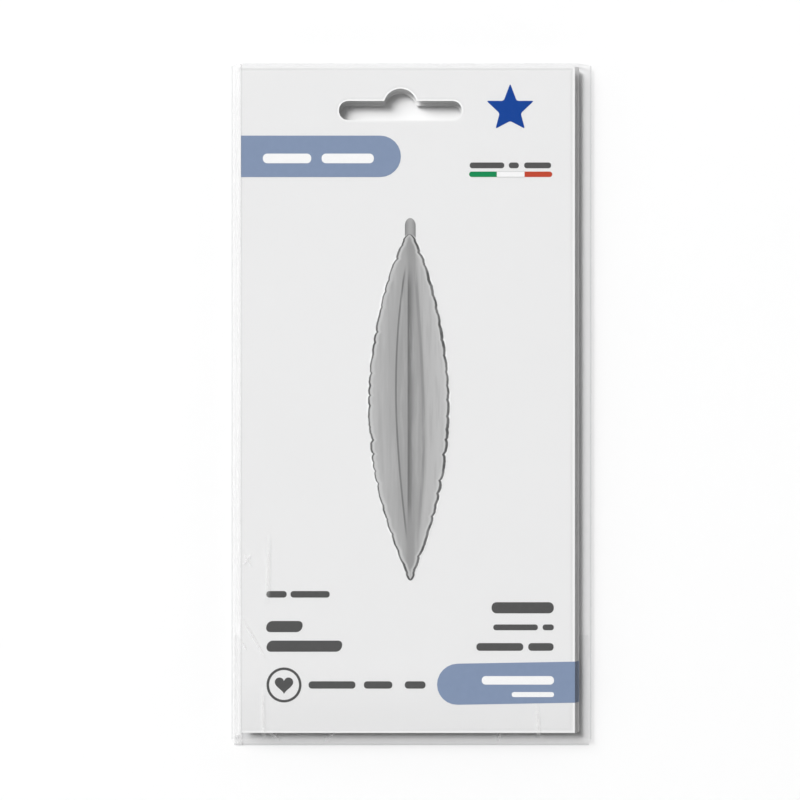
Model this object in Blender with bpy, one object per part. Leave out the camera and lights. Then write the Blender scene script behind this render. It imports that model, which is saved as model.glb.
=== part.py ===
# Hanging retail packet, lying on its back: a printed card folder closed round a folded foil
# balloon, in a clear film sleeve, with one hang slot punched through the whole head.
# Origin at the bottom centre. +X is the packet's right, +Y its head, +Z out of its printed face.

import math

import bmesh
import bpy

# Sleeve, outside
sleeve_width = 0.0943
sleeve_length = 0.1785
film = 0.00012
weld_height = 0.0015
flap_length = 0.0288
flap_inset = 0.0006
fold_radius = 0.0003
mouth_inset = 0.0018
mouth_lift = 0.00044
step_near = 0.001
step_far = 0.003
# How far past the card's corners the film bends towards its welds
shoulder_spine_front = 0.0009
shoulder_spine_back = 0.0006
shoulder_open_back = 0.001

# Card folder
card_left = -0.0444
card_right = 0.0425
card_foot = -0.0854
card_head = 0.08815
card_back_left = -0.0429
card = 0.00035
card_depth = 0.0031
# The spine's outline: how far it bulges between its two creases, at each level of half its depth
spine_bulge = 0.0011
spine_roundness = 1.25
spine_levels = (1.0, 0.6, 0.25, 0.0, -0.25, -0.6, -1.0)
gap = 0.0003

# Hang slot, the usual 32 mm punch; the back panel's slot sits a little lower
slot_x = -0.0029
slot_foot = 0.0742
slot_width = 0.032
slot_height = 0.005
slot_hump_width = 0.0084
slot_hump_height = 0.0082
slot_corner = 0.0024
slot_back_drop = 0.0008
slot_film_margin = 0.0003
arc_steps = 6

# Folded balloon and its neck
balloon_left = -0.0412
balloon_right = 0.0388
balloon_foot = -0.0792
balloon_head = 0.0705
balloon_edge = 0.0007
neck_width = 0.014
neck_x = -0.0015
neck_foot = -0.0849
neck_thickness = 0.0005

# Closing strip on the flap
strip_width = 0.0876
strip_height = 0.008
strip_foot = -0.0742
strip = 0.00012
strip_gap = 0.0001

# Points closer than this are one
merge_distance = 0.00001

# Levels, from the ground up
card_bottom = film + strip_gap + strip + strip_gap + film + 0.00028
card_top = card_bottom + card_depth
sleeve_top = card_top + gap + film
card_inner_bottom = card_bottom + card
card_inner_top = card_top - card
balloon_bottom = card_inner_bottom + gap
balloon_top = card_inner_top - gap


def material(name, colour, roughness, metallic=0.0, alpha=1.0):
    made = bpy.data.materials.new(name)
    made.use_nodes = True
    shader = made.node_tree.nodes["Principled BSDF"]
    shader.inputs["Base Color"].default_value = (*colour, 1.0)
    shader.inputs["Roughness"].default_value = roughness
    shader.inputs["Metallic"].default_value = metallic
    shader.inputs["Alpha"].default_value = alpha
    return made


def mesh_object(name, verts, faces, looks=None):
    mesh = bpy.data.meshes.new(name)
    mesh.from_pydata(verts, [], faces)
    mesh.update()
    if looks:
        mesh.materials.append(looks)
    thing = bpy.data.objects.new(name, mesh)
    bpy.context.collection.objects.link(thing)
    return thing


def box(name, low, high, looks, edge=0.0):
    """A plain block from low to high, its edges cut back by edge."""
    frame = bmesh.new()
    bmesh.ops.create_cube(frame, size=1.0)
    for vert in frame.verts:
        for axis in range(3):
            vert.co[axis] = high[axis] if vert.co[axis] > 0 else low[axis]
    if edge:
        bmesh.ops.bevel(
            frame, geom=frame.edges[:], offset=edge, segments=2, profile=0.5, affect="EDGES"
        )
    mesh = bpy.data.meshes.new(name)
    frame.to_mesh(mesh)
    frame.free()
    mesh.materials.append(looks)
    thing = bpy.data.objects.new(name, mesh)
    bpy.context.collection.objects.link(thing)
    return thing


def thicken(thing, thickness):
    """Give a sheet its thickness, half to each side."""
    solid = thing.modifiers.new("thickness", "SOLIDIFY")
    solid.thickness = thickness
    solid.offset = 0.0
    solid.use_even_offset = True


def cut(thing, cutter):
    hole = thing.modifiers.new("cut", "BOOLEAN")
    hole.operation = "DIFFERENCE"
    hole.solver = "EXACT"
    hole.object = cutter


def arc(centre_x, centre_y, radius, start, end):
    """Points of an arc, angles in degrees."""
    turns = [math.radians(start + (end - start) * i / arc_steps) for i in range(arc_steps + 1)]
    return [(centre_x + radius * math.cos(t), centre_y + radius * math.sin(t)) for t in turns]


def slot_outline(drop, margin):
    """The hang slot: a bar with rounded ends, and a hump that is one arc over its middle."""
    foot = slot_foot - drop - margin
    bar_top = slot_foot - drop + slot_height + margin
    half = slot_width / 2 + margin
    hump = slot_hump_width / 2 + margin
    corner = slot_corner + margin
    rise = slot_hump_height - slot_height
    crown = (hump ** 2 + rise ** 2) / (2 * rise)
    crown_y = bar_top + rise - crown
    start = math.degrees(math.asin((crown - rise) / crown))
    points = arc(slot_x - half + corner, foot + corner, corner, 180, 270)
    points += arc(slot_x + half - corner, foot + corner, corner, 270, 360)
    points += arc(slot_x + half - corner, bar_top - corner, corner, 0, 90)
    points += arc(slot_x, crown_y, crown, start, 90)
    points += arc(slot_x, crown_y, crown, 90, 180 - start)[1:]
    points += arc(slot_x - half + corner, bar_top - corner, corner, 90, 180)
    return points


def slot_cutter(name, bottom, top, drop=0.0, margin=0.0):
    outline = slot_outline(drop, margin)
    count = len(outline)
    verts = [(x, y, z) for z in (bottom, top) for x, y in outline]
    faces = [tuple(range(count - 1, -1, -1)), tuple(range(count, 2 * count))]
    for i in range(count):
        after = (i + 1) % count
        faces.append((i, after, count + after, count + i))
    cutter = mesh_object(name, verts, faces)
    cutter.hide_render = True
    cutter.display_type = "WIRE"
    return cutter


def grid(rows):
    """Vertices and faces of a sheet from rows of points, each row as long as the next."""
    wide = len(rows[0])
    verts = [point for row in rows for point in row]
    faces = []
    for r in range(len(rows) - 1):
        for c in range(wide - 1):
            first = r * wide + c
            faces.append((first, first + 1, first + wide + 1, first + wide))
    return verts, faces


def split_corners(verts, faces, up):
    """Split each bent cell along the diagonal that bulges out of the sleeve, which is up on the
    front sheet and down on the back sheet."""
    done = []
    for face in faces:
        heights = [verts[i][2] for i in face]
        one_way = heights[0] + heights[2]
        other_way = heights[1] + heights[3]
        if abs(one_way - other_way) < merge_distance:
            done.append(face)
        elif (one_way > other_way) == up(face):
            done += [(face[0], face[1], face[2]), (face[0], face[2], face[3])]
        else:
            done += [(face[1], face[2], face[3]), (face[1], face[3], face[0])]
    return done


def make_sleeve(looks):
    """One strip of film: the flap, the fold at the foot, the front sheet, the fold at the head
    and the back sheet, with front and back welded down both sides."""
    half_wide = sleeve_width / 2 - film / 2
    half_long = sleeve_length / 2 - film / 2
    ground = film / 2
    top = sleeve_top - film / 2
    # Columns: side weld, shoulder over the card's edge, and the same at the right
    front_x = (-half_wide, card_left - gap, card_right + shoulder_spine_front, half_wide)
    back_x = (
        -half_wide,
        card_left + shoulder_open_back,
        card_right + shoulder_spine_back,
        half_wide,
    )

    def row(y, columns, middle, side):
        heights = (side, middle, middle, side)
        return [(x, y, z) for x, z in zip(columns, heights)]

    flap_x = [x * (1 - flap_inset / half_wide) for x in front_x]
    flap_end = -half_long + flap_length
    mouth = -half_long + mouth_inset
    back_lift = ground + mouth_lift
    head_fold = row(half_long, front_x, (top + ground) / 2, weld_height)
    rows = [
        row(flap_end, flap_x, ground, ground),
        row(-half_long + 2 * fold_radius, flap_x, ground, ground),
        row(-half_long, flap_x, ground + fold_radius, ground + fold_radius),
        row(mouth, front_x, weld_height, weld_height),
        row(card_foot - gap, front_x, top, weld_height),
        row(flap_end + step_near, front_x, top, weld_height),
        row(flap_end + step_far, front_x, top, weld_height),
        row(card_head + gap, front_x, top, weld_height),
        head_fold,
        row(card_head + gap, back_x, ground, weld_height),
        row(flap_end + step_far, back_x, ground, weld_height),
        row(flap_end + step_near, back_x, back_lift, weld_height),
        row(card_foot - gap, back_x, back_lift, weld_height),
        row(mouth, back_x, back_lift, weld_height),
    ]
    verts, faces = grid(rows)
    last_front = len(front_x) * rows.index(head_fold)
    faces = split_corners(verts, faces, lambda face: face[0] < last_front)
    sleeve = mesh_object("film_sleeve", verts, faces, looks)
    frame = bmesh.new()
    frame.from_mesh(sleeve.data)
    bmesh.ops.remove_doubles(frame, verts=frame.verts[:], dist=merge_distance)
    bmesh.ops.recalc_face_normals(frame, faces=frame.faces[:])
    frame.to_mesh(sleeve.data)
    frame.free()
    thicken(sleeve, film)
    margin = slot_film_margin
    cut(sleeve, slot_cutter("slot_in_front_film", card_top, sleeve_top + gap, 0.0, margin))
    cut(sleeve, slot_cutter("slot_in_back_film", -gap, card_bottom, slot_back_drop, margin))


def make_card(looks):
    """The folder: front panel, creased spine bulging out at the right, back panel."""
    middle = (card_top + card_bottom) / 2
    rise = (card_depth - card) / 2
    profile = [(card_left, middle + rise)]
    for level in spine_levels:
        bulge = spine_bulge * (1 - abs(level) ** spine_roundness)
        profile.append((card_right + bulge, middle + rise * level))
    profile.append((card_back_left, middle - rise))
    rows = [[(x, y, z) for x, z in profile] for y in (card_foot, card_head)]
    folder = mesh_object("printed_card", *grid(rows), looks)
    thicken(folder, card)
    cut(folder, slot_cutter("slot_in_front_panel", middle, card_top + gap))
    cut(folder, slot_cutter("slot_in_back_panel", card_bottom - gap, middle, slot_back_drop))


def make_balloon(looks):
    """The balloon folded into a flat pad, and its neck lying flat at the foot."""
    box(
        "folded_balloon",
        (balloon_left, balloon_foot, balloon_bottom),
        (balloon_right, balloon_head, balloon_top),
        looks,
        balloon_edge,
    )
    middle = (balloon_bottom + balloon_top) / 2
    box(
        "balloon_neck",
        (neck_x - neck_width / 2, neck_foot, middle - neck_thickness / 2),
        (neck_x + neck_width / 2, balloon_foot - gap, middle + neck_thickness / 2),
        looks,
    )


def make_strip(looks):
    bottom = film + strip_gap
    box(
        "adhesive_strip",
        (-strip_width / 2, strip_foot, bottom),
        (strip_width / 2, strip_foot + strip_height, bottom + strip),
        looks,
    )


for old in list(bpy.data.objects):
    bpy.data.objects.remove(old)

make_sleeve(material("clear_film", (0.95, 0.96, 0.97), 0.08, alpha=0.2))
make_card(material("coated_card", (0.82, 0.82, 0.82), 0.4))
make_balloon(material("silver_foil", (0.72, 0.73, 0.75), 0.18, metallic=1.0))
make_strip(material("adhesive", (0.9, 0.9, 0.88), 0.5, alpha=0.6))
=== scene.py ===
import math

import bpy
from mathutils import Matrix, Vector, noise


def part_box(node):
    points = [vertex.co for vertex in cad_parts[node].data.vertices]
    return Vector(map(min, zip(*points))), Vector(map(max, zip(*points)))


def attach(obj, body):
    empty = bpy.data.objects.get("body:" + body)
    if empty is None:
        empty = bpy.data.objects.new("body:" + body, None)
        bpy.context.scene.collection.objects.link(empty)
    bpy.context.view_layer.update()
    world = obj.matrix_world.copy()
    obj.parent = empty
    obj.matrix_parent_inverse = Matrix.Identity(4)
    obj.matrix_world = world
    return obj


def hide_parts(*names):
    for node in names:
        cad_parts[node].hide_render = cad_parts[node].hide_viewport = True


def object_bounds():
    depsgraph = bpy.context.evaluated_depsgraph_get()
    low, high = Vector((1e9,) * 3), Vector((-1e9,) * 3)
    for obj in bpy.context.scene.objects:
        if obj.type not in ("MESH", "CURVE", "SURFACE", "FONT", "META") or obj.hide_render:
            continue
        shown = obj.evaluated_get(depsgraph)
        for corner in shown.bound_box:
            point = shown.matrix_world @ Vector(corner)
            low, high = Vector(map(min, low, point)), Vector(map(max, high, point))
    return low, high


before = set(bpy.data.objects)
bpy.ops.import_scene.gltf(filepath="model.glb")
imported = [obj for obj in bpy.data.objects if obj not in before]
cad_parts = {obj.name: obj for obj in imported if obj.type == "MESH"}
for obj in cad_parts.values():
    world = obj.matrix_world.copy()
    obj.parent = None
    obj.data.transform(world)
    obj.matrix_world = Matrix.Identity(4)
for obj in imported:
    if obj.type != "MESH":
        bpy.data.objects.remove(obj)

# A retail packet lying on its back: a printed card folder round a folded foil balloon,
# in a clear film sleeve with a hang slot. Metres; +X right, +Y head, +Z out of the printed face.

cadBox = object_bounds()
mm = 0.001
cardLow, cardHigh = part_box("printed_card")
sleeveLow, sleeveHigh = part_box("film_sleeve")
padLow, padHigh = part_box("folded_balloon")
neckLow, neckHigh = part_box("balloon_neck")
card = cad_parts["printed_card"]


# shader maths

class Socket:
    # a node's output, which can stand in a sum
    def __init__(self, finish, socket):
        self.finish = finish
        self.socket = socket

    def output(self, name):
        return Socket(self.finish, self.socket.node.outputs[name])

    def maths(self, operation, *values):
        return self.finish.node("ShaderNodeMath", {"operation": operation}, dict(enumerate(values)))

    def __add__(self, other):
        return self.maths("ADD", self, other)

    def __radd__(self, other):
        return self.maths("ADD", other, self)

    def __sub__(self, other):
        return self.maths("SUBTRACT", self, other)

    def __rsub__(self, other):
        return self.maths("SUBTRACT", other, self)

    def __mul__(self, other):
        return self.maths("MULTIPLY", self, other)

    def __rmul__(self, other):
        return self.maths("MULTIPLY", other, self)

    def __pow__(self, other):
        return self.maths("POWER", self, other)

    def __abs__(self):
        return self.maths("ABSOLUTE", self)

    def sine(self):
        return self.maths("SINE", self)

    def most(self, other):
        return self.maths("MAXIMUM", self, other)

    def least(self, other):
        return self.maths("MINIMUM", self, other)

    def ramp(self, start, end):
        # 0 at the start and 1 at the end, which may be the smaller one
        return self.finish.node(
            "ShaderNodeMapRange",
            {"interpolation_type": "SMOOTHSTEP"},
            {"Value": self, "From Min": start, "From Max": end},
        )

    def near(self, centre, halfWidth, soft):
        # 1 along the line where this value is the centre, fading out past its half width
        return abs(self - centre).ramp(halfWidth + soft, halfWidth)


class Finish:
    # a material that is written as sums
    def __init__(self, name):
        self.material = bpy.data.materials.new(name)
        self.material.use_nodes = True
        self.tree = self.material.node_tree
        self.tree.nodes.clear()

    def node(self, kind, settings=None, values=None, out=0):
        made = self.tree.nodes.new(kind)
        for name, value in (settings or {}).items():
            setattr(made, name, value)
        for name, value in (values or {}).items():
            socket = made.inputs[name]
            if isinstance(value, Socket):
                self.tree.links.new(value.socket, socket)
            elif socket.type == "RGBA":
                socket.default_value = (*value, 1.0)
            else:
                socket.default_value = value
        return Socket(self, made.outputs[out]) if made.outputs else made

    def place(self):
        # where a point is on the object, in millimetres
        where = self.node("ShaderNodeTexCoord").output("Object")
        split = self.node("ShaderNodeSeparateXYZ", values={"Vector": where})
        return [split.output(axis) * (1 / mm) for axis in "XYZ"]

    def measure(self, name):
        # a number kept at each corner of the mesh
        return self.node("ShaderNodeAttribute", {"attribute_name": name}).output("Fac")

    def cloud(self, scale, detail=2.0, roughness=0.5, stretch=(1.0, 1.0, 1.0)):
        where = self.node("ShaderNodeTexCoord").output("Object")
        sized = self.node("ShaderNodeMapping", values={"Vector": where, "Scale": stretch})
        values = {"Vector": sized, "Scale": scale, "Detail": detail, "Roughness": roughness}
        return self.node("ShaderNodeTexNoise", values=values)

    def mix(self, share, first, second):
        values = {0: share, 6: first, 7: second}
        return self.node("ShaderNodeMix", {"data_type": "RGBA"}, values, out=2)

    def layers(self, colour, *coats):
        # each coat is a mask and the colour that it lays over those before it
        for mask, coat in coats:
            colour = self.mix(mask, colour, coat)
        return colour

    def blend(self, share, first, second):
        # one shader passing into another
        return self.node("ShaderNodeMixShader", values={0: share, 1: first, 2: second})

    def bump(self, height):
        # the height is in millimetres
        return self.node("ShaderNodeBump", values={"Height": height, "Strength": 1.0, "Distance": mm})

    def principled(self, values):
        return self.node("ShaderNodeBsdfPrincipled", values=values)

    def surface(self, shader):
        # the finished material
        self.node("ShaderNodeOutputMaterial", values={"Surface": shader})
        return self.material


studio = {
    "exposure": 0.96,  # how bright a white matt surface under the film looks on screen
    "haze": 0.0095,  # what the film and the gloss of the card add to it
    "darkest": 0.004,
    "world": 0.2,
    # the floor's lightness, width, steps across, flat radius, and the width and height of its raised rim
    "floor": 0.93, "span": 10.0, "steps": 81, "flat": 3.6, "bend": 1.3, "rim": 1.7,
    # each lamp: the way that its light comes from, its height, size and power, and whether gloss shows it
    "lamps": {
        "keyLight": ((-0.50, 0.50, 1.0), 7.5, 3.4, 472.0, False),
        "wideLight": ((-0.90, 0.85, 1.0), 7.0, 6.3, 726.0, False),
        "sheenLight": ((-1.0, 1.0, 0.66), 1.6, 0.9, 2.2, True),
        "fillLight": ((1.0, -1.0, 0.4), 1.0, 0.9, 1.2, True),
    },
}


def screen(*levels):
    # the colour of an ink whose red, green and blue look like this on screen, each from 0 to 255
    colour = []
    for level in levels:
        share = level / 255
        light = share / 12.92 if share < 0.04045 else ((share + 0.055) / 1.055) ** 2.4
        colour.append(max(studio["darkest"], (light - studio["haze"]) / studio["exposure"]))
    return tuple(colour)


def grey(level):
    return screen(level, level, level)


# modelling helpers

def deselectAll():
    bpy.ops.object.select_all(action="DESELECT")


def activate(thing):
    deselectAll()
    thing.select_set(True)
    bpy.context.view_layer.objects.active = thing


def rename(thing, name):
    thing.name = name
    thing.data.name = name
    return thing


def pickCorners(thing, rule):
    # goes to edit mode with the corners selected for which the rule holds
    activate(thing)
    bpy.ops.object.mode_set(mode="EDIT")
    bpy.ops.mesh.select_mode(type="VERT")
    bpy.ops.mesh.select_all(action="DESELECT")
    bpy.ops.object.mode_set(mode="OBJECT")
    for corner in thing.data.vertices:
        corner.select = rule(corner.co)
    bpy.ops.object.mode_set(mode="EDIT")


def leaveEdit():
    bpy.ops.object.mode_set(mode="OBJECT")


def applyAll(thing):
    activate(thing)
    bpy.ops.object.transform_apply(location=True, rotation=True, scale=True)
    for modifier in list(thing.modifiers):
        bpy.ops.object.modifier_apply(modifier=modifier.name)


def joinAll(name, things):
    activate(things[0])
    for thing in things:
        thing.select_set(True)
    if len(things) > 1:
        bpy.ops.object.join()
    return rename(things[0], name)


def thicken(thing, thickness, offset=0.0):
    wall = thing.modifiers.new("wall", "SOLIDIFY")
    wall.thickness = thickness
    wall.offset = offset
    wall.use_even_offset = True


def smooth(thing, angle):
    activate(thing)
    bpy.ops.object.shade_smooth_by_angle(angle=math.radians(angle))


def dress(thing, material):
    thing.data.materials.clear()
    thing.data.materials.append(material)
    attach(thing, "root")
    return thing


def redress(node, material):
    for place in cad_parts[node].material_slots:
        place.material = material


def addSheet(name, columns, rows, place):
    # a grid whose corner in each column and row is moved to its place
    deselectAll()
    bpy.ops.mesh.primitive_grid_add(x_subdivisions=columns - 1, y_subdivisions=rows - 1, size=1.0)
    sheet = rename(bpy.context.object, name)
    for number, corner in enumerate(sheet.data.vertices):
        corner.co = place(number % columns, number // columns)
    sheet.data.update()
    return sheet


def ripple(x, y, scale, seed):
    return noise.noise(Vector((x * scale, y * scale, seed)))


# camera, straight above the printed face

shot = {"lens": 78.0, "sensor": 36.0, "width": 208.33 * mm, "x": -2.99 * mm, "y": 1.3 * mm}
cameraHeight = cardHigh.z + shot["lens"] / shot["sensor"] * shot["width"]
bpy.ops.object.camera_add(location=(shot["x"], shot["y"], cameraHeight), rotation=(0, 0, 0))
camera = rename(bpy.context.object, "camera")
camera.data.lens = shot["lens"]
camera.data.sensor_width = shot["sensor"]
bpy.context.scene.camera = camera


# floor and light

def addLamp(name, way, height, size, power, mirrored):
    # a round soft box, up along the way that its light comes from
    place = Vector(way) * (height / way[2])
    deselectAll()
    bpy.ops.object.light_add(type="AREA", location=place)
    lamp = rename(bpy.context.object, name)
    lamp.data.shape = "DISK"
    lamp.data.size = size
    lamp.data.energy = power
    lamp.visible_glossy = mirrored
    lamp.rotation_euler = place.to_track_quat("Z", "Y").to_euler()


def addFloor():
    # flat round the packet, and rising to a low rim far from it
    span, steps = studio["span"], studio["steps"]

    def place(column, row):
        x = span * (column / (steps - 1) - 0.5)
        y = span * (row / (steps - 1) - 0.5)
        rise = max(0.0, min(1.0, (math.hypot(x, y) - studio["flat"]) / studio["bend"]))
        return (x, y, cadBox[0].z + studio["rim"] * rise ** 2)

    floor = addSheet("floor", steps, steps, place)
    smooth(floor, 60)
    finish = Finish("paleFloor")
    shade = studio["floor"]
    floor.data.materials.append(finish.surface(finish.principled({
        "Base Color": finish.mix(finish.cloud(3.0), (shade,) * 3, (shade + 0.01,) * 3),
        "Roughness": 0.9,
        "Specular IOR Level": 0.1,
    })))


addFloor()
for lampName, lampPlace in studio["lamps"].items():
    addLamp(lampName, *lampPlace)
world = bpy.data.worlds.new("studio")
world.use_nodes = True
world.node_tree.nodes["Background"].inputs["Color"].default_value = (1, 1, 1, 1)
world.node_tree.nodes["Background"].inputs["Strength"].default_value = studio["world"]
bpy.context.scene.world = world
bpy.context.scene.view_settings.view_transform = "Standard"
print("camera, floor and light")


# the card folder keeps its solid: coated outside, bare grey board inside

cardStyle = {
    "crease": 1.22,  # from the front crease to the spine's outermost line
    "rim": 0.3,  # how far from an edge the pale line, a painted highlight, is
    "press": 0.85,  # how far from an edge the folder's press mark is
    "cut": 0.16, "dent": 0.7,  # how far from the slot its pale line, a painted highlight, and its darker pressed line are
    "slotFade": 3.0,  # how far above the slot's foot those two lines are at their strongest; the painted highlight is weak at the slot's foot
    "footShadeFade": (18.0, 1.0),  # how far above its foot the panel's painted shade begins and is darkest
    "lip": 0.45, "inset": 0.8,  # how far in from the panels' outsides and the crease the board is bare
    "solid": 0.6, "reach": 1.75,  # how far past the crease the spine's painted shade is solid and fades out
    "shade": 0.42,  # what share of its colour is left in that painted shade
    "pale": 0.6, "dark": 3.4,  # how far below the head that painted shade begins and is at its darkest
    # greys, as they look on screen
    "panel": (235, 237), "board": (206, 222),
    "footShadeGrey": 230, "pressGrey": 227, "edgeHighlightGrey": 246, "dentGrey": 230, "cutGrey": 248,
}
# the slot: a bar with round ends and a hump over its middle, lower at the back and wider in the film
slot = {
    "x": -2.9 * mm, "foot": 74.2 * mm, "half": 16.0 * mm, "height": 5.0 * mm,
    "hump": 4.2 * mm, "rise": 3.2 * mm, "corner": 2.4 * mm,
    "backDrop": 0.8 * mm, "margin": 0.3 * mm, "steps": 10,
}


def fromSlot(x, y):
    # how far outside the slot in the front panel a point is, in millimetres
    middle, corner = slot["x"] / mm, slot["corner"] / mm
    foot, height = slot["foot"] / mm, slot["height"] / mm
    hump, rise = slot["hump"] / mm, slot["rise"] / mm
    pastX = (abs(x - middle) - (slot["half"] / mm - corner)).most(0.0)
    pastY = (abs(y - foot - height / 2) - (height / 2 - corner)).most(0.0)
    fromBar = (pastX ** 2 + pastY ** 2) ** 0.5 - corner
    crown = (hump ** 2 + rise ** 2) / (2 * rise)
    fromHump = ((x - middle) ** 2 + (y - foot - height - rise + crown) ** 2) ** 0.5 - crown
    return fromBar.least(fromHump.most(foot + height - y))


def spineShadeMask(x, y):
    # painted shade on the spine: 1 next to the front crease and 0 on the panel, fading towards the spine's
    # outermost line and the head
    past = x - (cardHigh.x / mm - cardStyle["crease"])
    below = cardHigh.y / mm - y
    across = past.ramp(-0.1, 0.1) * past.ramp(cardStyle["reach"], cardStyle["solid"])
    return across * below.ramp(cardStyle["pale"], cardStyle["dark"])


def inShade(colour):
    # a colour of the card or its print, as the painted shade on the spine has it
    return tuple(share * cardStyle["shade"] for share in colour)


def cardFinish():
    finish = Finish("coatedCard")
    x, y, z = finish.place()
    foot, low = cardLow.y / mm, cardLow.z / mm
    right, head, high = [value / mm for value in cardHigh]
    crease = right - cardStyle["crease"]
    fibre = finish.cloud(900.0, 3.0)
    # the open edge at the left has no press mark
    edge = (crease - x).least(y - foot).least(head - y)
    press = edge.near(cardStyle["press"], 0.1, 0.3) * finish.cloud(14.0, 1.0).ramp(0.3, 0.6)
    # a pale line along the crease, head and foot: a painted highlight
    rim = edge.near(cardStyle["rim"], 0.08, 0.16)
    punched = fromSlot(x, y)
    above = (y - slot["foot"] / mm).ramp(0.0, cardStyle["slotFade"])
    dent = punched.near(cardStyle["dent"], 0.1, 0.3)
    # a pale line round the slot, strongest above its foot: a painted highlight
    cut = punched.near(cardStyle["cut"], 0.08, 0.14)
    outside = finish.layers(
        finish.mix(finish.cloud(25.0), *map(grey, cardStyle["panel"])),
        # darker towards the foot: painted shade
        ((y - foot).ramp(*cardStyle["footShadeFade"]), grey(cardStyle["footShadeGrey"])),
        (press, grey(cardStyle["pressGrey"])),
        (rim * 0.8, grey(cardStyle["edgeHighlightGrey"])),
        (dent * above * 0.6, grey(cardStyle["dentGrey"])),
        (cut * (0.2 + 0.6 * above), grey(cardStyle["cutGrey"])),
        # the spine's darker line: painted shade
        (spineShadeMask(x, y), inShade(grey(cardStyle["panel"][0]))),
    )
    board = finish.mix(fibre, *map(grey, cardStyle["board"]))
    inner = z.near((low + high) / 2, (high - low) / 2 - cardStyle["lip"], 0.04)
    inside = inner * (crease - x).ramp(0.0, cardStyle["inset"])
    return finish.surface(finish.principled({
        "Base Color": finish.mix(inside, outside, board),
        "Roughness": 0.36 + 0.06 * fibre + 0.35 * inside,
        "Specular IOR Level": 0.3,
        "Normal": finish.bump(0.004 * fibre - 0.03 * press),
    }))


redress("printed_card", cardFinish())
print("card folder")


# print: thin plates of ink on the card

ink = {
    "thickness": 0.035 * mm, "overprint": 0.06 * mm, "steps": 6,
    "lighter": 1.06, "dust": 0.006,  # what a worn grain of ink is multiplied by and gains
}


def inkFinish(name, colour):
    finish = Finish(name)
    x, y = finish.place()[:2]
    grain = finish.cloud(700.0, 3.0)
    worn = tuple(share * ink["lighter"] + ink["dust"] for share in colour)
    return finish.surface(finish.principled({
        # ink on the spine takes the same painted shade
        "Base Color": finish.mix(spineShadeMask(x, y), finish.mix(grain, colour, worn), inShade(colour)),
        "Roughness": 0.32 + 0.08 * grain,
        "Specular IOR Level": 0.25,
    }))


inks = {
    "slate": inkFinish("slateInk", screen(132, 148, 175)),
    "dark": inkFinish("darkInk", grey(88)),
    "pale": inkFinish("paleInk", grey(244)),
    "blue": inkFinish("blueInk", screen(10, 71, 150)),
    "green": inkFinish("greenInk", screen(13, 138, 85)),
    "white": inkFinish("whiteInk", grey(243)),
    "red": inkFinish("redInk", screen(190, 76, 56)),
    "line": inkFinish("lineInk", grey(205)),
}


def addBar(x, y, width, height, corner, roundEnds="both", slant=0.0, under=False):
    # a flat bar with rounded corners, at its place in millimetres
    deselectAll()
    level = cardLow.z if under else cardHigh.z
    turn = math.pi if under else 0.0
    bpy.ops.mesh.primitive_plane_add(
        size=1.0, location=(x * mm, y * mm, level), rotation=(0, turn, 0), scale=(1, 1, 1)
    )
    bar = bpy.context.object
    bar.scale = (width * mm, height * mm, 1.0)
    bpy.ops.object.transform_apply(location=False, rotation=False, scale=True)
    ends = {"both": lambda co: True, "left": lambda co: co.x < 0, "right": lambda co: co.x > 0}
    pickCorners(bar, ends[roundEnds])
    radius = min(corner, width * 0.499, height * 0.499) * mm
    bpy.ops.mesh.bevel(offset=radius, segments=ink["steps"], affect="VERTICES")
    leaveEdit()
    for point in bar.data.vertices:
        point.co.x += slant * point.co.y
    activate(bar)
    bpy.ops.object.transform_apply(location=True, rotation=True, scale=True)
    return bar


def printPlate(name, shapes, material, thickness=None):
    plate = joinAll(name, shapes)
    thicken(plate, thickness or ink["thickness"], offset=1.0)
    applyAll(plate)
    return dress(plate, material)


# the two slate bands: the upper runs in from the open edge, the lower over the spine

bands = {
    "upperEnd": -2.75, "upperMiddle": 64.75, "upperHeight": 10.8,
    "lowerStart": 6.65, "lowerMiddle": -72.8, "lowerHeight": 10.7, "lowerTilt": 0.62,
}


def spineOutline():
    # the spine's outer corners from the front crease to the back one, as the card's solid has them
    middle = (cardLow.z + cardHigh.z) / 2
    crease = cardHigh.x - 2 * mm
    corners = {
        (round(point.co.x, 6), round(point.co.z, 6))
        for point in card.data.vertices
        if point.co.x > crease and abs(point.co.y - cardLow.y) < 0.1 * mm
    }

    def hidden(corner):
        return any(
            other[0] > corner[0] and abs(other[1] - middle) > abs(corner[1] - middle)
            for other in corners
        )

    outer = [corner for corner in corners if not hidden(corner)]
    return sorted(outer, key=lambda corner: -corner[1])


def printBands():
    left = cardLow.x / mm
    length = bands["upperEnd"] - left
    height = bands["upperHeight"]
    middle = left + length / 2
    upper = addBar(middle, bands["upperMiddle"], length, height, height, roundEnds="right")
    printPlate("upperBand", [upper], inks["slate"])

    outline = spineOutline()
    crease = outline[0][0] / mm
    start = bands["lowerStart"]
    length = crease - start
    height = bands["lowerHeight"]
    lower = addBar(start + length / 2, bands["lowerMiddle"], length, height, height, roundEnds="left")
    pickCorners(lower, lambda co: co.x > (crease - 0.1) * mm)
    for (x0, z0), (x1, z1) in zip(outline, outline[1:]):
        bpy.ops.mesh.extrude_region_move(TRANSFORM_OT_translate={"value": (x1 - x0, 0, z1 - z0)})
    bpy.ops.mesh.select_all(action="SELECT")
    bpy.ops.mesh.normals_make_consistent(inside=False)
    leaveEdit()
    for point in lower.data.vertices:
        point.co.y += bands["lowerTilt"] * (point.co.x - start * mm) / length
    printPlate("lowerBand", [lower], inks["slate"])


printBands()

# rows of plain bars: middle x, middle y, length, height and slant, in millimetres

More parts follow.
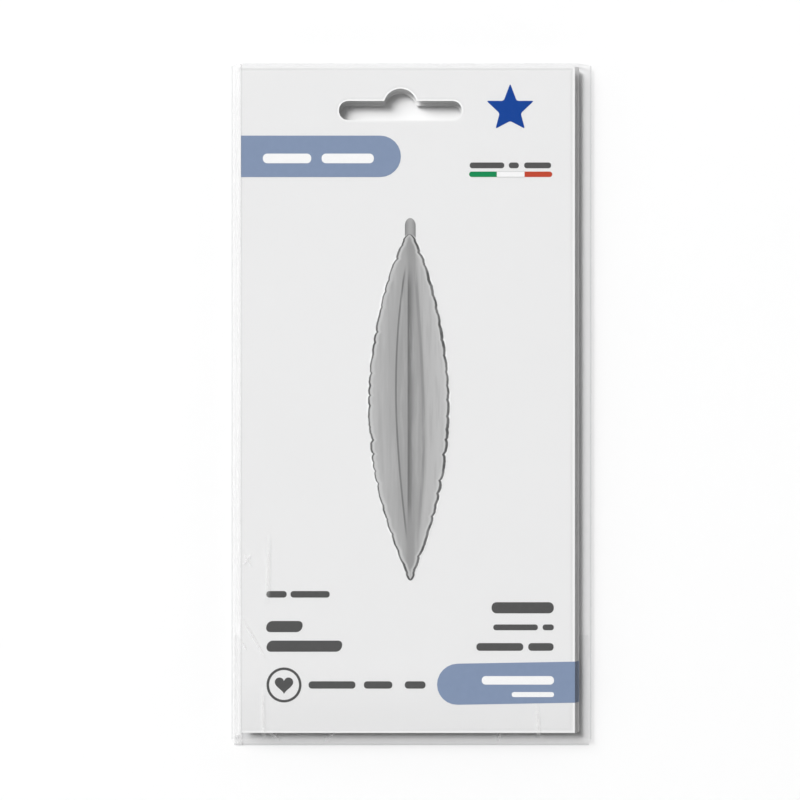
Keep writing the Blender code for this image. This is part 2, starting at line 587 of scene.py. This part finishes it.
darkBars = [
    (-35.15, -49.3, 5.3, 1.7, 0.0), (-26.4, -49.3, 10.2, 1.7, 0.0),
    (-33.1, -57.7, 9.4, 2.9, 0.2), (-27.9, -62.8, 19.6, 2.9, 0.2),
    (-20.7, -72.9, 12.2, 1.9, 0.0), (-8.7, -72.9, 7.4, 1.9, 0.0), (0.95, -72.9, 5.4, 1.9, 0.0),
    (28.95, -52.8, 16.2, 2.9, 0.0),
    (27.1, -57.9, 11.6, 1.5, 0.0), (35.6, -57.9, 2.9, 1.5, 0.0),
    (23.0, -63.0, 12.2, 2.0, 0.0), (33.7, -63.0, 6.6, 2.0, 0.0),
    (19.65, 62.4, 9.0, 1.5, 0.0), (26.65, 62.4, 2.6, 1.5, 0.0), (32.85, 62.4, 7.0, 1.5, 0.0),
]
paleBars = [
    (-32.4, 64.2, 12.6, 2.5, 0.0), (-16.6, 64.2, 13.6, 2.5, 0.0),
    (27.7, -71.7, 18.8, 2.2, 0.0), (31.6, -75.4, 11.0, 1.3, 0.0),
]


def printRows():
    for name, rows, material, thickness in (
        ("darkBars", darkBars, inks["dark"], ink["thickness"]),
        ("paleBars", paleBars, inks["pale"], ink["overprint"]),
    ):
        bars = [
            addBar(x, y, length, height, height * 0.45, slant=slant)
            for x, y, length, height, slant in rows
        ]
        printPlate(name, bars, material, thickness)


printRows()

# the three-colour stripe

stripe = {"left": 15.0, "right": 36.65, "middle": 60.08, "height": 1.41, "line": 0.12}


def printStripe():
    third = (stripe["right"] - stripe["left"]) / 3
    middle, height = stripe["middle"], stripe["height"]
    ends = (("green", "left", 1.0), ("white", "both", 0.02), ("red", "right", 1.0))
    for number, (colour, roundEnds, corner) in enumerate(ends):
        x = stripe["left"] + third * (number + 0.5)
        printPlate(colour + "Stripe", [addBar(x, middle, third, height, corner, roundEnds)], inks[colour])
    x = stripe["left"] + third * 1.5
    lines = [addBar(x, middle + side * height / 2, third, stripe["line"], 0.01) for side in (-1, 1)]
    printPlate("stripeLines", lines, inks["line"], ink["overprint"])


printStripe()

# a star at the head, and a heart in a ring at the foot

star = {"x": 25.7, "y": 77.2, "outer": 6.5, "inner": 2.9, "soft": 0.5, "steps": 5}
ring = {"x": -33.2, "y": -72.9, "outer": 4.55, "width": 0.65, "heart": 2.4, "heartLift": 0.15, "points": 64}


def addDisc(x, y, radius, points):
    deselectAll()
    bpy.ops.mesh.primitive_circle_add(
        vertices=points, radius=radius * mm, fill_type="NGON", location=(x * mm, y * mm, cardHigh.z)
    )
    return bpy.context.object


def printStar():
    shape = addDisc(star["x"], star["y"], star["outer"], 10)
    inward = {tuple(point.co) for point in list(shape.data.vertices)[1::2]}
    pickCorners(shape, lambda co: tuple(co) in inward)
    shrink = star["inner"] / star["outer"]
    bpy.ops.transform.resize(value=(shrink, shrink, 1.0))
    bpy.ops.mesh.select_all(action="SELECT")
    bpy.ops.mesh.bevel(offset=star["soft"] * mm, segments=star["steps"], affect="VERTICES")
    leaveEdit()
    applyAll(shape)
    printPlate("star", [shape], inks["blue"])


def printRing():
    hoop = addDisc(ring["x"], ring["y"], ring["outer"], ring["points"])
    pickCorners(hoop, lambda co: True)
    bpy.ops.mesh.inset(thickness=ring["width"] * mm, depth=0)
    bpy.ops.mesh.delete(type="FACE")
    leaveEdit()
    applyAll(hoop)
    heart = addDisc(ring["x"], ring["y"] + ring["heartLift"], ring["heart"], ring["points"])
    for number, point in enumerate(heart.data.vertices):
        # the usual heart curve
        turn = 2 * math.pi * number / ring["points"]
        rise = 13 * math.cos(turn) - 5 * math.cos(2 * turn) - 2 * math.cos(3 * turn) - math.cos(4 * turn)
        point.co = (-math.sin(turn) ** 3 * ring["heart"] * mm, rise / 16 * ring["heart"] * mm, 0)
    applyAll(heart)
    printPlate("heartRing", [hoop, heart], inks["dark"])


printStar()
printRing()


# the back panel has a band and plain lines, facing down

back = {
    "bandY": 50.0, "bandLength": 56.0, "bandHeight": 9.0,
    "lines": 9, "lineX": -2.0, "lineY": 30.0, "pitch": 5.5, "lineHeight": 1.4,
    "longest": 58.0, "shorter": 9.0, "lengths": 3,  # the lines get shorter in turn, and start again
}


def printBack():
    height = back["bandHeight"]
    band = addBar(0.0, back["bandY"], back["bandLength"], height, height, under=True)
    printPlate("backBand", [band], inks["slate"])
    lines = []
    for row in range(back["lines"]):
        y = back["lineY"] - back["pitch"] * row
        length = back["longest"] - back["shorter"] * (row % back["lengths"])
        height = back["lineHeight"]
        lines.append(addBar(back["lineX"], y, length, height, height / 2, under=True))
    printPlate("backLines", lines, inks["dark"])


printBack()
print("print on the card")


# the picture of the balloon: a silver leaf with puckered seams

leaf = {
    # its place and outline, and how far its middle line is shifted, sways out and leans
    "x": -0.46, "head": 44.5, "foot": -45.7, "halfWidth": 10.55, "shift": -0.04, "sway": -0.3, "lean": 0.2,
    "headFullness": 0.68, "footFullness": 0.88, "headTip": 1.6, "footTip": 1.05, "tipReach": 1.4,
    # the puckers along its edge, which are smaller where it is narrow, and the pale line past them
    "pucker": 0.75, "puckers": 23, "drift": 1.3, "bulge": 0.1, "crinkle": 0.12, "narrow": 3.0, "pale": 0.4,
    "columns": 41, "rows": 521,
    "tabX": -0.32, "tabHead": 48.7, "tabWidth": 2.8, "tabOverlap": 2.8, "tabDome": 1.45,
    # the creases beside the seam: where each crosses the tips, how far it bows out and how it leans
    "leftCrease": (0.62, -4.2, 0.85), "rightCrease": (0.89, 2.71, 1.2),
    # greys, as they look on screen, with the outline's width
    "leftPanel": (171, 184), "middlePanel": 165, "rightPanel": (187, 194), "seam": 118, "tip": 154,
    "leftLine": 116, "rightLine": 140, "gleam": 200, "dull": 152, "rim": 212, "glint": (236, 249),
    "outline": (92, 124), "outlineWidth": 0.42,
    "tabPanel": (168, 142), "tabOutline": 120, "tabGleam": 185,
}


def leafHalfWidth(share):
    # share runs from 0 at the head to 1 at the foot, and both ends are a little blunt
    fullness = leaf["headFullness"] + (leaf["footFullness"] - leaf["headFullness"]) * share
    half = leaf["halfWidth"] * max(0.0, math.sin(math.pi * share)) ** fullness
    length = leaf["head"] - leaf["foot"]
    tip = leaf["headTip"] if share < 0.5 else leaf["footTip"]
    fromTip = min(share, 1 - share) * length / leaf["tipReach"]
    return max(half, tip * math.sqrt(min(1.0, fromTip)))


def leafEdge(share, side):
    # the half width with its puckers, whose notches don't match from side to side
    half = leafHalfWidth(share)
    taper = min(1.0, half / leaf["narrow"])
    phase = leaf["puckers"] * share + leaf["drift"] * ripple(share, side, 9, 5.0)
    scallop = abs(math.sin(math.pi * phase)) ** 0.5
    depth = leaf["pucker"] * (0.4 + 1.3 * abs(ripple(share, side, 23, 8.0))) * taper
    crinkle = leaf["crinkle"] * ripple(share, side, 130, 2.0) * taper
    return max(0.03, half + leaf["bulge"] - depth * (1 - scallop) + crinkle)


def leafRow(column, row):
    # how far down the leaf and across it a corner is, its side's half width and the pale line past that
    share = 1 - row / (leaf["rows"] - 1)
    across = 2 * column / (leaf["columns"] - 1) - 1
    half = leafEdge(share, 1 if across > 0 else 0)
    return share, across, half, leaf["pale"] * min(1.0, half / leaf["narrow"])


def printLeaf():
    def place(column, row):
        share, across, half, pale = leafRow(column, row)
        middle = leaf["x"] + leaf["shift"] + leaf["sway"] * math.sin(math.pi * share) + leaf["lean"] * share
        y = leaf["head"] + (leaf["foot"] - leaf["head"]) * share
        return ((middle + across * (half + pale)) * mm, y * mm, cardHigh.z)

    picture = addSheet("balloonPicture", leaf["columns"], leaf["rows"], place)
    toEdge = picture.data.attributes.new("toEdge", "FLOAT", "POINT")
    for number in range(len(picture.data.vertices)):
        share, across, half, pale = leafRow(number % leaf["columns"], number // leaf["columns"])
        toEdge.data[number].value = (1 - abs(across)) * (half + pale) - pale
    printPlate("balloonPicture", [picture], pictureFinish(), ink["overprint"])


def fromCrease(off, share, place, bow, lean):
    # how far to the right of a bowed crease a point is
    return off - place - ((share ** lean) * math.pi).sine() * bow


def pictureFinish():
    finish = Finish("leafPicture")
    x, y = finish.place()[:2]
    toEdge = finish.measure("toEdge")
    off = x - leaf["x"]
    share = (leaf["head"] - y) * (1 / (leaf["head"] - leaf["foot"]))
    streak = finish.cloud(70.0, 3.0, 0.55, (14.0, 1.0, 1.0))
    waver = finish.cloud(160.0, 2.0)
    # the seam and the creases fade out towards the tips, where a soft wedge takes their place
    ends = share.ramp(0.06, 0.16) * share.ramp(0.88, 0.76)
    seam = off.ramp(-0.62, -0.48) * off.ramp(1.5, -0.4) * ends
    wedge = off.near(0.15, 0.5, 1.2) * share.ramp(0.16, 0.04).most(share.ramp(0.76, 0.88))
    pastLeft = fromCrease(off, share, *leaf["leftCrease"])
    pastRight = fromCrease(off, share, *leaf["rightCrease"])
    leftLine = pastLeft.near(0.0, 0.08, 0.3) * share.ramp(0.08, 0.14) * share.ramp(0.9, 0.84)
    rightLine = pastRight.near(0.0, 0.15, 0.45) * ends
    width = leaf["outlineWidth"] + off.ramp(-5, 5) * 0.2 + (waver - 0.5) * 0.8
    outline = finish.mix(finish.cloud(420.0).ramp(0.35, 0.65), *map(grey, leaf["outline"]))
    glint = finish.mix(finish.cloud(220.0, 1.0).ramp(0.48, 0.62), *map(grey, leaf["glint"]))
    shade = finish.layers(
        finish.mix(pastLeft.ramp(0.0, -5.5), *map(grey, leaf["leftPanel"])),
        (pastLeft.ramp(-0.2, 0.4), grey(leaf["middlePanel"])),
        (pastRight.ramp(-0.1, 1.3), grey(leaf["rightPanel"][0])),
        (pastRight.ramp(1.5, 5.0), grey(leaf["rightPanel"][1])),
        (seam, grey(leaf["seam"])),
        (leftLine * 0.85, grey(leaf["leftLine"])),
        (rightLine * 0.6, grey(leaf["rightLine"])),
        (streak.ramp(0.5, 0.72) * 0.25, grey(leaf["gleam"])),
        (streak.ramp(0.5, 0.3) * 0.25, grey(leaf["dull"])),
        (wedge * 0.8, grey(leaf["tip"])),
        (toEdge.ramp(1.5, 0.8) * (0.2 + 0.8 * waver), grey(leaf["rim"])),
        ((toEdge - width).ramp(0.14, -0.1), outline),
        (toEdge.ramp(0.08, -0.08), glint),
    )
    return finish.surface(finish.principled({
        "Base Color": shade,
        "Roughness": 0.32 + 0.06 * waver,
        "Specular IOR Level": 0.4,
    }))


def tabFinish():
    finish = Finish("tabPicture")
    side = abs(finish.place()[0] - leaf["tabX"])
    shade = finish.layers(
        finish.mix(side.ramp(0.2, 1.2), *map(grey, leaf["tabPanel"])),
        (side.ramp(1.1, 1.35), grey(leaf["tabOutline"])),
        (finish.cloud(500.0) * 0.3, grey(leaf["tabGleam"])),
    )
    return finish.surface(finish.principled({
        "Base Color": shade,
        "Roughness": 0.36,
        "Specular IOR Level": 0.4,
    }))


def printTab():
    length = leaf["tabHead"] - leaf["head"] + leaf["tabOverlap"]
    width = leaf["tabWidth"]
    tab = addBar(leaf["tabX"], leaf["tabHead"] - length / 2, width, length, width / 2)
    for point in tab.data.vertices:
        fromHead = leaf["tabHead"] * mm - point.co.y
        if fromHead < length * mm / 2:
            point.co.y = leaf["tabHead"] * mm - fromHead * leaf["tabDome"]
    printPlate("pictureTab", [tab], tabFinish())


printLeaf()
printTab()
print("balloon picture")


# the folded balloon: one long sheet of foil, folded to and fro between the panels

foil = {
    "layers": 7, "thickness": 0.05 * mm, "columns": 62, "rows": 60, "bends": 3,
    "margin": 1.2 * mm, "slack": 0.15 * mm, "ragged": 0.8 * mm,
    "bulge": 0.6,  # how far a fold reaches into the margin
    "wave": 0.32,  # how far a layer waves, as a share of the step between layers
    "dark": (0.66, 0.67, 0.69), "light": (0.78, 0.785, 0.8),
}


def foilFinish():
    finish = Finish("silverFoil")
    crush = finish.cloud(180.0, 4.0, 0.6)
    fine = finish.cloud(1100.0, 2.0)
    return finish.surface(finish.principled({
        "Base Color": finish.mix(crush, foil["dark"], foil["light"]),
        "Metallic": 1.0,
        "Roughness": 0.12 + 0.18 * crush,
        "Normal": finish.bump(0.22 * crush + 0.02 * fine),
    }))


foilMaterial = foilFinish()


def foldedPath(pitch):
    # y, z, looseness and layer of each row of the sheet, from the lowest layer up
    foot, head = padLow.y + foil["margin"], padHigh.y - foil["margin"]
    path = []
    for layer in range(foil["layers"]):
        level = padLow.z + foil["slack"] + pitch * layer
        run = [foot + (head - foot) * step / (foil["rows"] - 1) for step in range(foil["rows"])]
        if layer % 2:
            run.reverse()
        path += [(y, level, 1.0, layer) for y in run]
        if layer == foil["layers"] - 1:
            continue
        for step in range(1, foil["bends"] + 1):
            turn = math.pi * step / (foil["bends"] + 1)
            outward = math.sin(turn) * (-1 if layer % 2 else 1) * foil["margin"] * foil["bulge"]
            path.append((run[-1] + outward, level + pitch * (1 - math.cos(turn)) / 2, 0.0, layer))
    return path


def makeFoil():
    pitch = (padHigh.z - padLow.z - 2 * foil["slack"]) / (foil["layers"] - 1)
    path = foldedPath(pitch)
    columns = foil["columns"]

    def place(column, row):
        y, level, loose, layer = path[row]
        share = column / (columns - 1)
        shift = foil["ragged"] * ripple(y, 0.0, 55, 3.0 + layer)
        x = padLow.x + foil["margin"] + shift
        x += (padHigh.x - padLow.x - 2 * foil["margin"]) * share
        return (x, y, level + loose * foil["wave"] * pitch * ripple(x, y, 170, 11.0 + layer))

    stack = addSheet("foldedFoil", columns, len(path), place)
    thicken(stack, foil["thickness"])
    applyAll(stack)
    smooth(stack, 60)
    dress(stack, foilMaterial)
    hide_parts("folded_balloon")


neck = {
    "columns": 29, "rows": 13, "thickness": 0.14 * mm,
    "seam": 1.1 * mm, "crown": 0.13 * mm, "wrinkle": 0.05 * mm,
}


def makeNeck():
    # the inflation neck: two foils welded along both sides, a little puffed between the welds
    columns, rows = neck["columns"], neck["rows"]
    middle = (neckLow.z + neckHigh.z) / 2

    def place(column, row):
        x = neckLow.x + (neckHigh.x - neckLow.x) * column / (columns - 1)
        y = neckLow.y + (neckHigh.y - neckLow.y) * row / (rows - 1)
        inward = min(x - neckLow.x, neckHigh.x - x) - neck["seam"]
        puff = neck["crown"] * max(0.0, min(1.0, inward / neck["seam"]))
        return (x, y, middle + puff - neck["crown"] / 2 + neck["wrinkle"] * ripple(x, y, 380, 2.0))

    tab = addSheet("neckTab", columns, rows, place)
    thicken(tab, neck["thickness"])
    applyAll(tab)
    smooth(tab, 60)
    dress(tab, foilMaterial)
    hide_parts("balloon_neck")


makeFoil()
makeNeck()
print("folded balloon")


# the clear sleeve: one strip of film from the flap round the foot, face, head and back

sleeve = {
    "wall": 0.08 * mm, "weld": 1.5 * mm, "flap": 28.8 * mm, "flapInset": 0.6 * mm,
    "fold": 0.3 * mm, "mouth": 1.8 * mm, "ground": 0.03 * mm, "backLift": 0.44 * mm,
    "backStep": 3 * mm, "backRun": 2 * mm,  # how far past the flap's end the back comes down, and over what
    "openShoulder": 0.35 * mm, "spineShoulder": -0.4 * mm, "clear": 0.3 * mm,
    "frontCurve": 1.5, "backCurve": 1.3, "headCurve": 0.8,  # how full the film is beside the card
    "edgeColumns": 8, "middleColumns": 78, "rows": 156, "endRows": 7, "flapRows": 22, "headRows": 6,
    "drape": 0.06 * mm, "cornerFold": 0.07 * mm, "cornerReach": 14 * mm, "cornerEase": 3 * mm,
    "wander": 0.25 * mm, "punch": 1 * mm,  # how far past the film the slot's cutter reaches
    # the film's tints, and how far in from the sleeve's edge a weld fades out and is full
    "clearTint": (0.966, 0.966, 0.967), "weldTint": (0.84, 0.84, 0.845), "hazeSheenTint": (0.97, 0.97, 0.97),
    "glossTint": (0.975, 0.977, 0.98), "sideWeld": (0.63, 0.43), "endWeld": (0.55, 0.27),
    # how far in from the left edge the film turns milky and then milkier, and how much: a haze laid only on
    # the lit side and milkier towards the card to lift the shade there, so partly painted light
    "hazeSheenStart": (0.3, 0.7), "hazeSheenRise": (1.2, 2.4), "hazeAndSheen": 0.14, "moreHazeAndSheen": 0.24,
}


def spread(start, end, count):
    return [start + (end - start) * step / count for step in range(count)]


def ease(share):
    share = max(0.0, min(1.0, share))
    return share * share * (3 - 2 * share)


def filmDrape(x, y):
    # slow waves, with folds that fan out from the card's corners
    lift = sleeve["drape"] * (0.8 * ripple(x, y, 24, 1.0) + 0.4 * ripple(x * 1.5, y, 62, 4.0))
    for cornerX in (cardLow.x, cardHigh.x):
        for cornerY in (cardLow.y, cardHigh.y):
            away = math.hypot(x - cornerX, y - cornerY)
            turn = math.atan2(y - cornerY, x - cornerX)
            fade = math.exp(-away / sleeve["cornerReach"]) * ease(away / sleeve["cornerEase"])
            lift += sleeve["cornerFold"] * fade * math.cos(11 * turn + 2 * cornerX / mm)
    return lift


def makeFilm():
    left, right = sleeveLow.x + sleeve["wall"], sleeveHigh.x - sleeve["wall"]
    foot, head = sleeveLow.y + sleeve["wall"], sleeveHigh.y - sleeve["wall"]
    ground = sleeveLow.z + sleeve["ground"]
    top = sleeveHigh.z - sleeve["wall"]
    openSide = cardLow.x - sleeve["openShoulder"]
    spineSide = cardHigh.x + sleeve["spineShoulder"]
    footSide, headSide = cardLow.y - sleeve["clear"], cardHigh.y + sleeve["clear"]
    mouth = foot + sleeve["mouth"]
    flapEnd = foot + sleeve["flap"]
    narrow = 1 - 2 * sleeve["flapInset"] / (right - left)

    across = spread(left, openSide, sleeve["edgeColumns"])
    across += spread(openSide, spineSide, sleeve["middleColumns"])
    across += spread(spineSide, right, sleeve["edgeColumns"]) + [right]
    along = spread(mouth, footSide, sleeve["endRows"])
    along += spread(footSide, headSide, sleeve["rows"]) + [headSide]
    strip = [("flap", y) for y in spread(flapEnd, foot + 2 * sleeve["fold"], sleeve["flapRows"])]
    strip += [("fold", foot)]
    strip += [("front", y) for y in along]
    strip += [("head", step / sleeve["headRows"]) for step in range(1, sleeve["headRows"])]
    strip += [("back", y) for y in reversed(along)]

    def weld(x, y):
        return sleeve["weld"] + sleeve["wander"] * ripple(y, 0.0, 34, 3.0 if x > 0 else 9.0)

    def inward(x):
        return max(0.0, min(1.0, (x - left) / (openSide - left), (right - x) / (right - spineSide)))

    def frontLevel(x, y):
        share = min(inward(x), (y - mouth) / (footSide - mouth))
        rise = 1 - (1 - max(0.0, min(1.0, share))) ** sleeve["frontCurve"]
        return weld(x, y) + (top - weld(x, y)) * rise + filmDrape(x, y) * rise

    def backLevel(x, y):
        lift = sleeve["backLift"] * ease((flapEnd + sleeve["backStep"] - y) / sleeve["backRun"])
        return weld(x, y) + (ground + lift - weld(x, y)) * ease(inward(x) * sleeve["backCurve"])

    def place(column, row):
        kind, y = strip[row]
        x = across[column]
        if kind == "flap":
            return (x * narrow, y, ground)
        if kind == "fold":
            return (x * narrow, foot, ground + sleeve["fold"])
        if kind == "front":
            return (x, y, frontLevel(x, y))
        if kind == "back":
            return (x, y, backLevel(x, y))
        # half round at the head
        high, low = frontLevel(x, headSide), backLevel(x, headSide)
        turn = math.pi * y
        reach = (head - headSide) * math.sin(turn) ** sleeve["headCurve"] * (0.4 + 0.6 * inward(x))
        return (x, headSide + reach, (high + low) / 2 + (high - low) / 2 * math.cos(turn))

    film = addSheet("clearSleeve", len(across), len(strip), place)
    pickCorners(film, lambda co: True)
    bpy.ops.mesh.remove_doubles(threshold=0.01 * mm)
    bpy.ops.mesh.normals_make_consistent(inside=False)
    leaveEdit()
    return film


def addSpare(thing, material):
    # a first place for what shows and a second one for what is peeled off after the punch
    for number in range(2):
        thing.data.materials.append(material)


def addWall(film):
    thicken(film, sleeve["wall"], offset=-1.0)
    film.modifiers["wall"].material_offset = 1
    film.modifiers["wall"].material_offset_rim = 1
    applyAll(film)


def peel(film):
    # film this thin is one surface, so the inner side of the wall goes
    pickCorners(film, lambda co: False)
    leaveEdit()
    for face in film.data.polygons:
        face.select = face.material_index > 0
    bpy.ops.object.mode_set(mode="EDIT")
    bpy.ops.mesh.select_mode(type="FACE")
    bpy.ops.mesh.delete(type="FACE")
    leaveEdit()


def slotOutline(drop):
    # a bar with rounded ends, and a hump that is one arc over its middle
    low = slot["foot"] - drop - slot["margin"]
    top = slot["foot"] - drop + slot["height"] + slot["margin"]
    half = slot["half"] + slot["margin"]
    hump = slot["hump"] + slot["margin"]
    corner = slot["corner"] + slot["margin"]
    crown = (hump ** 2 + slot["rise"] ** 2) / (2 * slot["rise"])
    start = math.degrees(math.asin((crown - slot["rise"]) / crown))

    def arc(x, y, radius, first, last):
        turns = [math.radians(angle) for angle in spread(first, last, slot["steps"]) + [last]]
        return [(x + radius * math.cos(turn), y + radius * math.sin(turn)) for turn in turns]

    points = arc(slot["x"] - half + corner, low + corner, corner, 180, 270)
    points += arc(slot["x"] + half - corner, low + corner, corner, 270, 360)
    points += arc(slot["x"] + half - corner, top - corner, corner, 0, 90)
    points += arc(slot["x"], top + slot["rise"] - crown, crown, start, 180 - start)
    points += arc(slot["x"] - half + corner, top - corner, corner, 90, 180)
    return points


def punch(film, low, high, drop):
    outline = slotOutline(drop)
    deselectAll()
    bpy.ops.mesh.primitive_circle_add(vertices=len(outline), fill_type="NGON")
    cutter = bpy.context.object
    for point, (x, y) in zip(cutter.data.vertices, outline):
        point.co = (x, y, low)
    pickCorners(cutter, lambda co: True)
    bpy.ops.mesh.extrude_region_move(TRANSFORM_OT_translate={"value": (0, 0, high - low)})
    bpy.ops.mesh.select_all(action="SELECT")
    bpy.ops.mesh.normals_make_consistent(inside=False)
    leaveEdit()
    addSpare(cutter, film.data.materials[0])
    for face in cutter.data.polygons:
        face.material_index = 1
    hole = film.modifiers.new("slot", "BOOLEAN")
    hole.operation = "DIFFERENCE"
    hole.solver = "EXACT"
    hole.object = cutter
    applyAll(film)
    bpy.data.objects.remove(cutter)


# creases in the film, each from a point to a point: x, y, x, y, half width, height, in millimetres

creases = [
    (-37.1, -34.0, -37.6, -51.5, 1.0, 0.05),
    (-38.7, -73.5, -38.5, -87.5, 0.8, 0.08),
    (-44.0, -41.9, -41.6, -38.8, 0.3, 0.05),
    (-43.8, -38.6, -41.4, -42.2, 0.3, 0.05),
    (-44.4, -55.0, -38.0, -66.0, 0.5, 0.06),
    (-44.3, -61.2, -42.8, -64.0, 0.3, 0.06),
    (32.6, -78.0, 33.2, -87.0, 0.9, 0.07),
    (-37.0, -85.0, -34.5, -88.0, 0.35, 0.08),
    (-20.0, -85.4, -23.0, -88.2, 0.35, 0.08),
    (23.2, -85.4, 22.6, -88.2, 0.3, 0.07),
]


def filmFinish():
    finish = Finish("clearFilm")
    x, y = finish.place()[:2]
    height, haze = 0.0, 0.0
    for x0, y0, x1, y1, half, tall in creases:
        length = math.hypot(x1 - x0, y1 - y0)
        wayX, wayY = (x1 - x0) / length, (y1 - y0) / length
        along = (x - x0) * wayX + (y - y0) * wayY
        off = (x - x0) * -wayY + (y - y0) * wayX
        ends = along.ramp(-0.1 * length, 0.3 * length) * along.ramp(1.1 * length, 0.7 * length)
        ridge = off.near(0.0, 0.05, half) * ends
        height = ridge * tall + height
        haze = ridge.most(haze)
    slow = finish.cloud(60.0, 2.0)
    fine = finish.cloud(500.0, 3.0)
    fromLeft, openEdge = x - sleeveLow.x / mm, cardLow.x / mm
    fromSide = sleeveHigh.x / mm - abs(x)
    fromEnd = (y - sleeveLow.y / mm).least(sleeveHigh.y / mm - y)
    weld = fromSide.ramp(*sleeve["sideWeld"]).most(fromEnd.ramp(*sleeve["endWeld"]))
    crimp = weld * (y * 9.0).sine()
    # the film beside the card's open edge turns to the light and is a little milky: a haze laid on the lit
    # side only and milkier towards the card, where it lifts the shade, so partly painted light
    beside = x.ramp(openEdge + 0.1, openEdge - 0.1) * fromLeft.ramp(*sleeve["hazeSheenStart"])
    hazeAndSheen = beside * (sleeve["hazeAndSheen"] + sleeve["moreHazeAndSheen"] * fromLeft.ramp(*sleeve["hazeSheenRise"]))
    gloss = finish.principled({
        "Base Color": sleeve["glossTint"],
        "Metallic": 1.0,
        "Roughness": 0.1 + 0.06 * fine + 0.25 * haze,
        "Normal": finish.bump(height + 0.12 * slow + 0.006 * fine + 0.01 * crimp),
    })
    clear = finish.node("ShaderNodeBsdfTransparent", values={"Color": sleeve["clearTint"]})
    welded = finish.node("ShaderNodeBsdfTransparent", values={"Color": sleeve["weldTint"]})
    # the milky coat: partly haze, partly painted light
    hazeSheenCoat = finish.node("ShaderNodeBsdfDiffuse", values={"Color": sleeve["hazeSheenTint"]})
    facing = finish.node("ShaderNodeLayerWeight", values={"Blend": 0.5}).output("Facing")
    share = 0.02 + (facing ** 5) * 0.55 + haze * 0.03
    body = finish.blend((haze * 0.22).most(hazeAndSheen), finish.blend(weld * 0.6, clear, welded), hazeSheenCoat)
    return finish.surface(finish.blend(share, body, gloss))


film = makeFilm()
filmMaterial = filmFinish()
addSpare(film, filmMaterial)
addWall(film)
punch(film, cardHigh.z, sleeveHigh.z + sleeve["punch"], 0.0)
punch(film, sleeveLow.z - sleeve["punch"], cardLow.z, slot["backDrop"])
peel(film)
smooth(film, 50)
dress(film, filmMaterial)
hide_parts("film_sleeve")
print("clear sleeve")


# the closing strip keeps its solid

def adhesiveFinish():
    finish = Finish("adhesive")
    bubbles = finish.cloud(350.0, 3.0)
    return finish.surface(finish.principled({
        "Base Color": finish.mix(bubbles, (0.78, 0.78, 0.75), (0.9, 0.9, 0.88)),
        "Roughness": 0.35 + 0.25 * bubbles,
        "Alpha": 0.4 + 0.2 * bubbles,
    }))


redress("adhesive_strip", adhesiveFinish())
print("closing strip")
